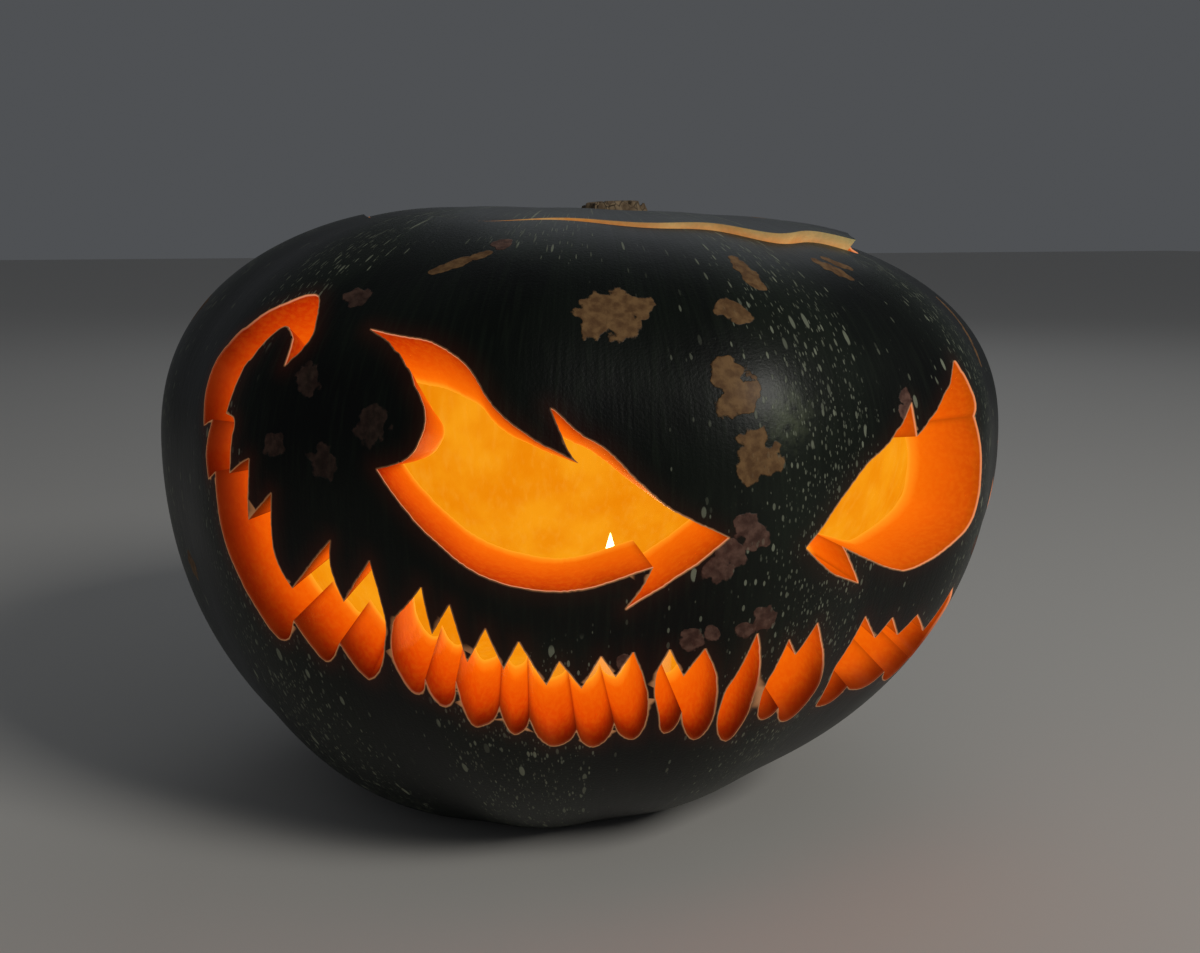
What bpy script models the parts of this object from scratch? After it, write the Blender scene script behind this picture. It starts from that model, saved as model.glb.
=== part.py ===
"""A squash lantern: a hollow shell carved with two eyes and a toothed grin, its lid, and a candle.

Metres, +Z up. The shell stands on z = 0 with its growing axis on the Z axis. The face looks along -Y.
An azimuth is in degrees from -Y towards +X, a latitude in degrees above the widest ring, and a height in
millimetres above the resting spot, as a carver would mark the skin.
"""
import math

import bmesh
import bpy
from mathutils import Matrix, Vector
from mathutils.geometry import tessellate_polygon

MM = 0.001

# The fruit
RADIUS = 0.120
EQUATOR = 0.0996
RISE = 0.0696
DROP = 0.1080
RISE_POWER = 2.45
DROP_POWER = 2.0
CROWN_SHIFT = (0.0075, -0.0028)
FOOT_SHIFT = (0.0040, 0.0)
TOP_SLOPE = 0.075
UNDER_SLOPE = 0.17
RIBS = 11
RIB_DEPTH = 0.0013
STEM_HOLLOW = 0.0065
STEM_HOLLOW_RADIUS = 0.045
WALL = 0.020
FLOOR = 0.0245

# The lid and its seat
CUT_LATITUDE = 59.2
# Where the knife dipped: how deep, at which azimuth and how far to each side, in degrees
CUT_DIPS = ((3.4, 9.5, 9.0), (5.2, 37.0, 8.0))
CUT_WOBBLE = 0.7
CUT_SLOPE = math.radians(51.0)
CUT_ABOVE = 0.022
CUT_BELOW = 0.038
CUT_SIDES = 72
LID_GAP = 0.0016
LID_LIFT = 0.0012
LID_TILT = math.radians(-2.0)
STEM_RADIUS = 0.0098
STEM_HEIGHT = 0.0050
STEM_SIDES = 9
STEM_LOBES = 0.10
# The stub from its foot, sunk in the lid, to its top: level and width as shares of its height and radius
STEM_RINGS = ((-1.2, 1.25), (0.3, 1.12), (0.6, 0.92), (1.0, 0.98))

# The candle
CANDLE_RADIUS = 0.0190
CANDLE_HEIGHT = 0.0170
CANDLE_PLACE = (0.0075, -0.0028)
CANDLE_FOOT_EDGE = 0.0012
CANDLE_LIP = 0.0010
CANDLE_RIM = 0.0030
CANDLE_POOL = 0.0020
WICK_RADIUS = 0.0009
WICK_HEIGHT = 0.0075
WICK_SINK = 0.0040
WICK_TAPER = 0.7
TOUCH_GAP = 0.0003

# Fineness of the facets
AROUND = 72
SKIN_RINGS = 26
AROUND_INSIDE = 48
INSIDE_RINGS = 16
PULL_STEPS = 3
CANDLE_SIDES = 28
WICK_SIDES = 8
SMOOTH_BELOW = math.radians(35.0)

# The carving knife: how far its cuts reach past both sides of the wall, and how it turns towards the front
CUT_BEYOND = 0.009
KNIFE_TURN = 0.3

# The left eye: strokes of (azimuth, height), each a smooth pull of the knife between two corners
LEFT_EYE = (
    ((-49.0, 140.5), (-40.8, 137.3), (-35.0, 131.6), (-29.5, 121.4), (-21.2, 112.7)),
    ((-21.2, 112.7), (-24.8, 124.0)),
    ((-24.8, 124.0), (-17.8, 114.0), (-12.0, 103.2), (-5.5, 95.7)),
    ((-5.5, 95.7), (-10.0, 88.0), (-16.0, 79.3)),
    ((-16.0, 79.3), (-14.3, 84.5), (-13.2, 89.2)),
    ((-13.2, 89.2), (-22.2, 84.2), (-31.5, 88.5), (-38.5, 99.8), (-42.8, 109.9)),
    ((-42.8, 109.9), (-39.0, 113.2), (-38.2, 122.6), (-43.5, 135.3), (-49.0, 140.5)),
)
# The right eye is shorter and its outer end is blunter
RIGHT_EYE = (
    ((3.5, 92.0), (10.8, 106.8), (15.5, 113.2), (20.0, 121.8)),
    ((20.0, 121.8), (20.5, 113.8)),
    ((20.5, 113.8), (25.0, 119.9), (31.5, 128.5)),
    ((31.5, 128.5), (34.3, 119.0), (33.0, 115.4)),
    ((33.0, 115.4), (35.2, 104.2), (33.8, 90.2), (25.2, 82.8)),
    ((25.2, 82.8), (20.2, 80.6), (14.0, 85.2), (8.8, 90.6)),
    ((8.8, 90.6), (12.2, 80.2)),
    ((12.2, 80.2), (7.5, 85.0), (3.5, 92.0)),
)
# The grin's left end hooks up beside the eye and has its own small barb
LEFT_HOOK = (
    ((-44.6, 63.5), (-43.0, 75.0), (-44.0, 88.7)),
    ((-44.0, 88.7), (-48.2, 77.3)),
    ((-48.2, 77.3), (-49.4, 86.0), (-49.0, 92.1)),
    ((-49.0, 92.1), (-55.5, 79.0)),
    ((-55.5, 79.0), (-57.4, 87.0), (-57.2, 101.7)),
    ((-57.2, 101.7), (-61.1, 94.6)),
    ((-61.1, 94.6), (-60.8, 108.9)),
    ((-60.8, 108.9), (-64.2, 104.8)),
    ((-64.2, 104.8), (-64.2, 117.0)),
    ((-64.2, 117.0), (-66.0, 118.1)),
    ((-66.0, 118.1), (-65.0, 130.0), (-61.8, 138.5)),
    ((-61.8, 138.5), (-59.3, 136.3), (-58.5, 130.5)),
    ((-58.5, 130.5), (-56.8, 138.0), (-60.3, 145.5)),
    ((-60.3, 145.5), (-67.2, 140.5), (-72.8, 128.5), (-71.0, 114.5)),
    ((-71.0, 114.5), (-68.8, 116.2)),
    ((-68.8, 116.2), (-69.6, 109.0), (-69.0, 102.3)),
    ((-69.0, 102.3), (-67.2, 104.5)),
    ((-67.2, 104.5), (-66.2, 87.5), (-60.8, 67.0), (-58.2, 65.5)),
    ((-58.2, 65.5), (-56.5, 70.7)),
    ((-56.5, 70.7), (-53.2, 60.5), (-50.2, 66.0)),
    ((-50.2, 66.0), (-47.4, 57.2), (-44.6, 63.5)),
)
# The other openings of the grin: the upper edge from left to right, and the roots of the gaps with the
# lower teeth between them, also from left to right
GRIN = (
    (
        ((-42.9, 65.0), (-42.0, 74.5), (-38.0, 84.4), (-37.4, 73.4), (-35.0, 81.0), (-33.8, 67.4),
         (-31.3, 75.8), (-29.8, 65.9), (-27.8, 72.7), (-25.2, 61.2), (-23.5, 67.0), (-21.2, 59.4),
         (-18.8, 67.5), (-17.2, 61.7), (-15.2, 68.3), (-13.8, 59.5), (-13.4, 51.4)),
        ((-41.2, 56.4), (-39.4, 61.0), (-37.9, 54.4), (-35.6, 62.0), (-34.6, 50.0), (-31.0, 56.0),
         (-29.9, 48.2), (-27.7, 52.5), (-25.3, 43.5), (-22.2, 47.6), (-20.3, 41.4), (-17.5, 48.6),
         (-15.3, 43.0)),
    ),
    (
        ((-12.2, 55.5), (-12.6, 62.0), (-11.2, 69.0), (-9.5, 61.9), (-7.3, 69.4), (-5.6, 61.1),
         (-5.4, 50.0)),
        ((-11.2, 45.2), (-9.3, 51.8), (-7.2, 43.2)),
    ),
    (
        ((-4.4, 47.5), (-4.2, 58.5), (-1.5, 73.0), (-0.5, 64.8), (-0.5, 55.0)),
        ((-2.6, 42.2),),
    ),
    (
        ((0.9, 50.5), (1.0, 60.0), (2.8, 70.0), (4.2, 65.4), (6.6, 72.6), (9.2, 62.0), (10.4, 51.8)),
        ((2.3, 47.2), (4.2, 50.0), (7.3, 43.4)),
    ),
    (
        ((12.6, 44.4), (12.6, 57.0), (15.0, 69.8), (18.5, 62.4), (20.5, 67.6), (23.2, 61.9),
         (25.8, 67.0), (30.0, 61.0), (33.8, 71.5), (37.8, 62.0)),
        ((15.2, 43.2), (17.8, 47.8), (21.5, 45.6), (25.6, 50.0), (29.6, 45.8), (33.0, 51.0), (36.2, 50.2)),
    ),
)
# The grin's far end, turned away past the right cheek, answers the left one
RIGHT_HOOK = (
    ((52.0, 66.0), (54.0, 80.0), (53.0, 93.0)),
    ((53.0, 93.0), (57.5, 82.0)),
    ((57.5, 82.0), (58.5, 92.0), (57.5, 103.0)),
    ((57.5, 103.0), (62.0, 95.5)),
    ((62.0, 95.5), (65.5, 118.0), (62.5, 134.0)),
    ((62.5, 134.0), (68.5, 131.0), (72.0, 122.0), (70.5, 106.0)),
    ((70.5, 106.0), (67.0, 82.0), (60.8, 66.0)),
    ((60.8, 66.0), (58.0, 71.5)),
    ((58.0, 71.5), (55.0, 59.0), (52.0, 66.0)),
)


def turned(radius, power, drop_power, rise, drop, latitude):
    """Radius and level, from the widest ring, of the fruit's turned outline at a latitude."""
    bulge = power if latitude > 0.0 else drop_power
    level = rise if latitude > 0.0 else drop
    angle = math.radians(latitude)
    across = radius * abs(math.cos(angle)) ** (2.0 / bulge)
    up = math.copysign(level * abs(math.sin(angle)) ** (2.0 / bulge), angle)
    return across, up


def grown(azimuth, latitude, inset=0.0, ribbed=True):
    """A point of the skin, or of the hollow's wall when inset, with the fruit's lean, slopes and ribs."""
    rise = RISE - inset
    drop = DROP - inset
    across, up = turned(RADIUS - inset, RISE_POWER, DROP_POWER, rise, drop, latitude)
    turn = math.radians(azimuth)
    if ribbed and inset == 0.0:
        across += RIB_DEPTH * math.cos(RIBS * turn) * math.cos(math.radians(latitude)) ** 0.5
    x = across * math.sin(turn)
    y = -across * math.cos(turn)
    if up > 0.0:
        share = up / rise
        up -= TOP_SLOPE * share * x + STEM_HOLLOW * math.exp(-((across / STEM_HOLLOW_RADIUS) ** 2))
        shift = CROWN_SHIFT
    else:
        share = -up / drop
        up += UNDER_SLOPE * share * x
        shift = FOOT_SHIFT
    return Vector((x + shift[0] * share ** 2, y + shift[1] * share ** 2, EQUATOR + up))


def latitude_at(azimuth, height):
    """The latitude at which the skin reaches a height on one azimuth."""
    low, high = -70.0, 70.0
    for _ in range(40):
        middle = (low + high) / 2.0
        if grown(azimuth, middle, ribbed=False).z < height:
            low = middle
        else:
            high = middle
    return (low + high) / 2.0


def skin_frame(azimuth, latitude):
    """The smooth skin's point and its outward direction there."""
    step = 0.5
    place = grown(azimuth, latitude, ribbed=False)
    east = grown(azimuth + step, latitude, ribbed=False) - place
    north = grown(azimuth, latitude + step, ribbed=False) - place
    return place, east.cross(north).normalized()


def pull(points, steps):
    """Points along a smooth knife pull through the given ones, without the last of them."""
    if len(points) == 2:
        return [points[0]]
    run = []
    for i in range(len(points) - 1):
        before = points[max(i - 1, 0)]
        after = points[min(i + 2, len(points) - 1)]
        for k in range(steps):
            t = k / steps
            run.append(tuple(
                0.5 * (2 * p1 + (p2 - p0) * t + (2 * p0 - 5 * p1 + 4 * p2 - p3) * t ** 2
                       + (3 * p1 - p0 - 3 * p2 + p3) * t ** 3)
                for p0, p1, p2, p3 in zip(before, points[i], points[i + 1], after)
            ))
    return run


def stroke_outline(strokes):
    """A closed outline of (azimuth, height) from knife strokes that meet at corners."""
    outline = []
    for stroke in strokes:
        outline += pull(stroke, PULL_STEPS)
    return outline


def scallop(start, root, end):
    """The rounded bottom of one gap between two teeth, from just after start to the root and just before end."""
    bows = ((0.30, 0.62), (0.72, 0.94))
    down = [(start[0] + a * (root[0] - start[0]), start[1] + h * (root[1] - start[1])) for a, h in bows]
    up = [(end[0] + a * (root[0] - end[0]), end[1] + h * (root[1] - end[1])) for a, h in reversed(bows)]
    return down + [root] + up


def grin_outline(upper, lower):
    """A closed outline of one opening of the grin: a sharp upper edge, and round roots below."""
    stops = [upper[0], *lower[1::2], upper[-1]]
    under = []
    for start, root, end in zip(stops, lower[0::2], stops[1:]):
        under += [*scallop(start, root, end), end]
    return list(upper) + under[-2::-1]


def loft(name, loops):
    """A closed mesh object through equal loops of points, with flat-filled ends."""
    mesh = bpy.data.meshes.new(name)
    model = bmesh.new()
    rows = [[model.verts.new(p) for p in loop] for loop in loops]
    count = len(rows[0])
    for lower, upper in zip(rows, rows[1:]):
        for i in range(count):
            j = (i + 1) % count
            model.faces.new((lower[i], lower[j], upper[j], upper[i]))
    for row in (rows[0], rows[-1]):
        for triple in tessellate_polygon([[v.co for v in row]]):
            model.faces.new([row[i] for i in triple])
    bmesh.ops.recalc_face_normals(model, faces=model.faces)
    model.to_mesh(mesh)
    model.free()
    thing = bpy.data.objects.new(name, mesh)
    bpy.context.scene.collection.objects.link(thing)
    return thing


def hide_cutter(thing):
    thing.hide_render = True
    thing.display_type = "WIRE"
    return thing


def opening_cutter(name, outline):
    """A prism through the wall whose sides are cut faces. The knife turns a little towards the front."""
    outside, inside = [], []
    for azimuth, height in outline:
        place, out = skin_frame(azimuth, latitude_at(azimuth, height * MM))
        out = Matrix.Rotation(math.radians(-KNIFE_TURN * azimuth), 3, "Z") @ out
        outside.append(place + CUT_BEYOND * out)
        inside.append(place - (WALL + CUT_BEYOND) * out)
    return hide_cutter(loft(name, (outside, inside)))


def body_mesh(name, inset, around, rings, lowest):
    """The closed fruit, or its hollow when inset, cut flat at the lowest level."""
    mesh = bpy.data.meshes.new(name)
    model = bmesh.new()
    rows = []
    for k in range(1, rings):
        latitude = 90.0 - 180.0 * k / rings
        rows.append([model.verts.new(grown(360.0 * i / around, latitude, inset)) for i in range(around)])
    top = model.verts.new(grown(0.0, 90.0, inset))
    bottom = model.verts.new(grown(0.0, -90.0, inset))
    for i in range(around):
        j = (i + 1) % around
        model.faces.new((top, rows[0][i], rows[0][j]))
        model.faces.new((bottom, rows[-1][j], rows[-1][i]))
        for upper, lower in zip(rows, rows[1:]):
            model.faces.new((upper[i], lower[i], lower[j], upper[j]))
    cut = bmesh.ops.bisect_plane(
        model, geom=model.verts[:] + model.edges[:] + model.faces[:], plane_co=(0.0, 0.0, lowest),
        plane_no=(0.0, 0.0, -1.0), clear_outer=True)
    rim = [e for e in cut["geom_cut"] if isinstance(e, bmesh.types.BMEdge)]
    bmesh.ops.contextual_create(model, geom=rim)
    bmesh.ops.recalc_face_normals(model, faces=model.faces)
    model.to_mesh(mesh)
    model.free()
    thing = bpy.data.objects.new(name, mesh)
    bpy.context.scene.collection.objects.link(thing)
    return thing


def cut_latitude(azimuth):
    """The hand-cut line round the lid, which wanders and dips at two places."""
    latitude = CUT_LATITUDE + CUT_WOBBLE * math.sin(3.0 * math.radians(azimuth + 40.0))
    for depth, middle, spread in CUT_DIPS:
        away = (azimuth - middle + 180.0) % 360.0 - 180.0
        latitude -= depth * math.exp(-((away / spread) ** 2))
    return latitude


def lid_plug(name, gap):
    """The cone inside the lid's sloping cut, shrunk all round by a gap."""
    above, below = [], []
    for i in range(CUT_SIDES):
        azimuth = 360.0 * i / CUT_SIDES
        rim = grown(azimuth, cut_latitude(azimuth), ribbed=False)
        out = Vector((math.sin(math.radians(azimuth)), -math.cos(math.radians(azimuth)), 0.0))
        slope = out * math.cos(CUT_SLOPE) + Vector((0.0, 0.0, math.sin(CUT_SLOPE)))
        above.append(rim - gap * out + slope * CUT_ABOVE)
        below.append(rim - gap * out - slope * CUT_BELOW)
    return hide_cutter(loft(name, (above, below)))


def boolean(thing, cutter, operation):
    step = thing.modifiers.new(cutter.name, "BOOLEAN")
    step.object = cutter
    step.operation = operation
    step.solver = "EXACT"


def paint(thing, name, colour, roughness, metallic=0.0):
    """Gives an object its own plain material."""
    skin = bpy.data.materials.new(name)
    skin.use_nodes = True
    shader = skin.node_tree.nodes["Principled BSDF"]
    shader.inputs["Base Color"].default_value = (*colour, 1.0)
    shader.inputs["Roughness"].default_value = roughness
    shader.inputs["Metallic"].default_value = metallic
    thing.data.materials.append(skin)


def make_openings():
    """Every cutter of the carved face, as wire guides."""
    cutters = [
        opening_cutter("left_eye_cut", stroke_outline(LEFT_EYE)),
        opening_cutter("right_eye_cut", stroke_outline(RIGHT_EYE)),
        opening_cutter("left_hook_cut", stroke_outline(LEFT_HOOK)),
        opening_cutter("right_hook_cut", stroke_outline(RIGHT_HOOK)),
    ]
    for i, (upper, lower) in enumerate(GRIN):
        cutters.append(opening_cutter(f"grin_cut_{i + 1}", grin_outline(upper, lower)))
    return cutters


def make_shell(hollow):
    """The hollow fruit with its lid's seat and its carved openings."""
    shell = body_mesh("pumpkin_shell", 0.0, AROUND, SKIN_RINGS, 0.0)
    boolean(shell, hollow, "DIFFERENCE")
    boolean(shell, lid_plug("lid_seat_cut", 0.0), "DIFFERENCE")
    for cutter in make_openings():
        boolean(shell, cutter, "DIFFERENCE")
    paint(shell, "dark_green_rind", (0.020, 0.035, 0.022), 0.42)
    return shell


def make_stem():
    """The corky stub of the stem, wider at its foot."""
    foot = grown(0.0, 90.0)
    loops = []
    for level, spread in STEM_RINGS:
        loop = []
        for i in range(STEM_SIDES):
            turn = 2.0 * math.pi * i / STEM_SIDES
            reach = STEM_RADIUS * spread * (1.0 + STEM_LOBES * math.cos(3.0 * turn + 0.7))
            loop.append(foot + Vector((reach * math.cos(turn), reach * math.sin(turn), level * STEM_HEIGHT)))
        loops.append(loop)
    return hide_cutter(loft("stem_stub", loops))


def make_lid(hollow):
    """The cut-out top with its stem, which lies a little crooked in its seat."""
    lid = body_mesh("pumpkin_lid", 0.0, AROUND, SKIN_RINGS, 0.0)
    boolean(lid, hollow, "DIFFERENCE")
    boolean(lid, lid_plug("lid_trim", LID_GAP), "INTERSECT")
    boolean(lid, make_stem(), "UNION")
    freeze(lid)
    lid.data.transform(Matrix.Rotation(LID_TILT, 4, "Y") @ Matrix.Translation((0.0, 0.0, -EQUATOR - RISE)))
    lid.location = (0.0, 0.0, EQUATOR + RISE + LID_LIFT)
    paint(lid, "dark_green_lid", (0.020, 0.035, 0.022), 0.45)
    return lid


def freeze(thing):
    """Applies an object's modifiers to its mesh."""
    graph = bpy.context.evaluated_depsgraph_get()
    made = bpy.data.meshes.new_from_object(thing.evaluated_get(graph), depsgraph=graph)
    thing.modifiers.clear()
    thing.data = made


def turned_piece(name, outline, sides):
    """A round closed piece from (radius, level) pairs that start and end on the axis."""
    loops = []
    for radius, level in outline:
        loops.append([
            Vector((radius * math.cos(2.0 * math.pi * i / sides),
                    radius * math.sin(2.0 * math.pi * i / sides), level))
            for i in range(sides)
        ])
    return loft(name, loops)


def make_candle():
    """A short wax candle on the scraped floor, with a socket round its wick."""
    top = CANDLE_HEIGHT
    socket = WICK_RADIUS + TOUCH_GAP
    outline = (
        (CANDLE_RADIUS - CANDLE_FOOT_EDGE, 0.0),
        (CANDLE_RADIUS, CANDLE_FOOT_EDGE),
        (CANDLE_RADIUS, top - CANDLE_LIP),
        (CANDLE_RADIUS - CANDLE_LIP, top),
        (CANDLE_RADIUS - CANDLE_RIM, top - 0.6 * CANDLE_POOL),
        (socket, top - CANDLE_POOL),
        (socket, top - WICK_SINK - TOUCH_GAP),
    )
    candle = turned_piece("candle", outline, CANDLE_SIDES)
    candle.location = (*CANDLE_PLACE, FLOOR + TOUCH_GAP)
    paint(candle, "candle_wax", (0.86, 0.80, 0.66), 0.45)
    return candle


def make_wick():
    """The wick, standing in the wax."""
    outline = (
        (WICK_RADIUS, 0.0),
        (WICK_RADIUS, WICK_TAPER * WICK_HEIGHT + WICK_SINK),
        (WICK_TAPER * WICK_RADIUS, WICK_HEIGHT + WICK_SINK),
    )
    wick = turned_piece("candle_wick", outline, WICK_SIDES)
    wick.location = (*CANDLE_PLACE, FLOOR + TOUCH_GAP + CANDLE_HEIGHT - WICK_SINK)
    paint(wick, "charred_wick", (0.03, 0.025, 0.02), 0.9)
    return wick


def shade_round(thing):
    """Smooth shading, with the edges of the cuts left sharp."""
    thing.data.shade_smooth()
    thing.data.set_sharp_from_angle(angle=SMOOTH_BELOW)


for old in list(bpy.data.objects):
    bpy.data.objects.remove(old, do_unlink=True)
hollow_body = hide_cutter(body_mesh("hollow_cut", WALL, AROUND_INSIDE, INSIDE_RINGS, FLOOR))
for piece in (make_shell(hollow_body), make_lid(hollow_body), make_candle(), make_wick()):
    shade_round(piece)
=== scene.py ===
"""The looks of a carved squash lantern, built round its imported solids. Metres, +Z up.

An azimuth is measured from -Y, where the face looks, towards +X. A latitude is measured up from the
fruit's widest ring. Both are in degrees, as a carver would mark them on the skin.
"""

import math

import bmesh
import bpy
from mathutils import Matrix, Vector, kdtree, noise
from mathutils.bvhtree import BVHTree


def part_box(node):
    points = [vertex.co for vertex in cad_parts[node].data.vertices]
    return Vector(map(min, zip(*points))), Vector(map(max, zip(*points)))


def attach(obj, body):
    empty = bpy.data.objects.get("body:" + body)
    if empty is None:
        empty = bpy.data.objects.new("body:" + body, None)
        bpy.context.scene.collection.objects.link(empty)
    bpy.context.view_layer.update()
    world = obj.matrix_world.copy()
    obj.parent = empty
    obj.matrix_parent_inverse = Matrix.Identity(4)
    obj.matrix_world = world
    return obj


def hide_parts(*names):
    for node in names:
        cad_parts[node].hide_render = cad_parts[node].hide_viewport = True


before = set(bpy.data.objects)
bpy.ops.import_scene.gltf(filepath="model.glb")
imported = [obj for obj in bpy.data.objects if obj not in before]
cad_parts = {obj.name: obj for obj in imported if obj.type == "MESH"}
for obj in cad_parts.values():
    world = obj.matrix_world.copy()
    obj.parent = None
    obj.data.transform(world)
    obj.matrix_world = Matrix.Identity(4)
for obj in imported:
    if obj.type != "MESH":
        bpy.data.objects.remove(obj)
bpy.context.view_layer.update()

# The camera stands close in front of the lantern, a little to its left, level with the lid's seat.
CAMERA_AZIMUTH = -20.5
CAMERA_DISTANCE = 0.396
CAMERA_HEIGHT = 0.1616
CAMERA_PITCH = 10.6
CAMERA_YAW = 0.7
CAMERA_LENS = 39.96
FILM_WIDTH = 36.0

heading = math.radians(CAMERA_AZIMUTH)
bpy.ops.object.select_all(action="DESELECT")
bpy.ops.object.camera_add(
    location=(CAMERA_DISTANCE * math.sin(heading), -CAMERA_DISTANCE * math.cos(heading), CAMERA_HEIGHT),
    rotation=(math.radians(90.0 - CAMERA_PITCH), 0.0, heading - math.radians(CAMERA_YAW)),
)
camera = bpy.context.object
camera.data.lens = CAMERA_LENS
camera.data.sensor_width = FILM_WIDTH
camera.data.clip_start = 0.01
bpy.context.scene.camera = camera

# The shell: one squat squash with a smooth, hard, dark green skin, scooped out with a spoon to a wall as
# thick as a finger. It grew a little lopsided, with low ribs, a dimple at the stem and a flat underside.
RADIUS = 0.120
EQUATOR = 0.0996
RISE = 0.0696
DROP = 0.1080
RISE_POWER = 2.45
DROP_POWER = 2.0
CROWN_SHIFT = (0.0075, -0.0028)
FOOT_SHIFT = (0.0040, 0.0)
TOP_SLOPE = 0.075
UNDER_SLOPE = 0.17
RIBS = 11
RIB_DEPTH = 0.0013
RIB_FADE = 0.5
STEM_HOLLOW = 0.0065
STEM_HOLLOW_RADIUS = 0.045
WALL = 0.020
FLOOR = 0.0245
SKIN_SIDES = 320
SKIN_RINGS = 150
SKIN_DENTS = 0.0004
DENTS_PER_METRE = 28.0
SCOOP_SIDES = 150
SCOOP_RINGS = 76
SPOON_MARKS = 0.0011
MARKS_PER_METRE = 42.0
FACETS_PER_METRE = 95.0
FIBRES = 0.00025
FIBRES_ROUND = 9.0
FIBRES_UP = 14.0
FIBRE_CROWD = 3.2
MERGE_BELOW = 0.00001
RIND, CUT, SCOOPED = 0, 1, 2


def turned(inset, latitude):
    """Radius and level, from the widest ring, of the fruit's turned outline at a latitude."""
    bulge = RISE_POWER if latitude > 0.0 else DROP_POWER
    level = (RISE if latitude > 0.0 else DROP) - inset
    angle = math.radians(latitude)
    across = (RADIUS - inset) * abs(math.cos(angle)) ** (2.0 / bulge)
    return across, math.copysign(level * abs(math.sin(angle)) ** (2.0 / bulge), angle)


def grown(azimuth, latitude, inset=0.0, ribbed=True):
    """A point of the skin, or of the hollow when inset, with the fruit's lean, slopes and ribs."""
    across, up = turned(inset, latitude)
    turn = math.radians(azimuth)
    if ribbed and inset == 0.0:
        across += RIB_DEPTH * math.cos(RIBS * turn) * abs(math.cos(math.radians(latitude))) ** RIB_FADE
    x = across * math.sin(turn)
    y = -across * math.cos(turn)
    if up > 0.0:
        share = up / (RISE - inset)
        up -= TOP_SLOPE * share * x + STEM_HOLLOW * math.exp(-((across / STEM_HOLLOW_RADIUS) ** 2))
        shift = CROWN_SHIFT
    else:
        share = -up / (DROP - inset)
        up += UNDER_SLOPE * share * x
        shift = FOOT_SHIFT
    return Vector((x + shift[0] * share ** 2, y + shift[1] * share ** 2, EQUATOR + up))


def pitted(place):
    """How far the skin lies under its smooth form at a place: broad, shallow dents."""
    return SKIN_DENTS * (0.5 + 0.5 * noise.noise(place * DENTS_PER_METRE))


def scraped(place):
    """How far the spoon and the torn fibres leave the hollow's wall from its smooth form."""
    turn = math.atan2(place.x, -place.y)
    strand = Vector((FIBRES_ROUND * math.cos(turn), FIBRES_ROUND * math.sin(turn), place.z * FIBRES_UP))
    facets = noise.noise(place * MARKS_PER_METRE) + 0.5 * noise.noise(place * FACETS_PER_METRE)
    return SPOON_MARKS * 0.5 * facets + FIBRES * noise.noise(strand * FIBRE_CROWD)


def picked(thing, *others):
    """Selects only these objects, with the first one active."""
    bpy.ops.object.select_all(action="DESELECT")
    for other in (thing, *others):
        other.select_set(True)
    bpy.context.view_layer.objects.active = thing


def all_edited():
    """Enters edit mode with everything selected."""
    bpy.ops.object.mode_set(mode="EDIT")
    bpy.ops.mesh.select_all(action="SELECT")


def fruit_body(name, around, rings, inset, lowest, relief):
    """A fine closed fruit, or its hollow when inset, with relief and cut flat at the lowest level."""
    bpy.ops.object.select_all(action="DESELECT")
    bpy.ops.mesh.primitive_uv_sphere_add(segments=around, ring_count=rings, radius=1.0)
    body = bpy.context.object
    body.name = name
    for vertex in body.data.vertices:
        out = vertex.co.normalized()
        azimuth = math.degrees(math.atan2(out.x, -out.y))
        latitude = math.degrees(math.asin(max(-1.0, min(1.0, out.z))))
        place = grown(azimuth, latitude, inset)
        vertex.co = place - relief(place) * out
    all_edited()
    bpy.ops.mesh.bisect(
        plane_co=(0.0, 0.0, lowest), plane_no=(0.0, 0.0, 1.0), use_fill=True, clear_inner=True)
    bpy.ops.object.mode_set(mode="OBJECT")
    return body


def tree_of(thing):
    """A search tree over a mesh object's faces."""
    mesh = thing.data
    return BVHTree.FromPolygons([v.co for v in mesh.vertices], [p.vertices for p in mesh.polygons])


def in_material(thing, index):
    """Gives every face of a mesh object one material index."""
    thing.data.polygons.foreach_set("material_index", [index] * len(thing.data.polygons))


def joined(first, *others):
    """Joins mesh objects into the first."""
    picked(first, *others)
    bpy.ops.object.join()
    return first


def turned_inside_out(thing):
    """Flips a closed mesh, so that it bounds a hollow."""
    picked(thing)
    all_edited()
    bpy.ops.mesh.flip_normals()
    bpy.ops.object.mode_set(mode="OBJECT")
    return thing


def slotted(thing):
    """Gives a mesh object slots for rind, cut flesh and scooped flesh, which a cut carries over."""
    for name in ("rind", "cut", "scooped"):
        thing.data.materials.append(bpy.data.materials.get(name) or bpy.data.materials.new(name))


def copy_of(thing, name):
    """A second object with a mesh of its own."""
    twin = thing.copy()
    twin.data = thing.data.copy()
    twin.name = name
    bpy.context.scene.collection.objects.link(twin)
    return twin


shell = fruit_body("squash_shell", SKIN_SIDES, SKIN_RINGS, 0.0, 0.0, pitted)
skin_tree = tree_of(shell)
slotted(shell)
scoop = fruit_body("scoop", SCOOP_SIDES, SCOOP_RINGS, WALL, FLOOR, scraped)
slotted(scoop)
in_material(scoop, SCOOPED)
turned_inside_out(scoop)
shell = joined(shell, scoop)
lid = copy_of(shell, "squash_lid")

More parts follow.
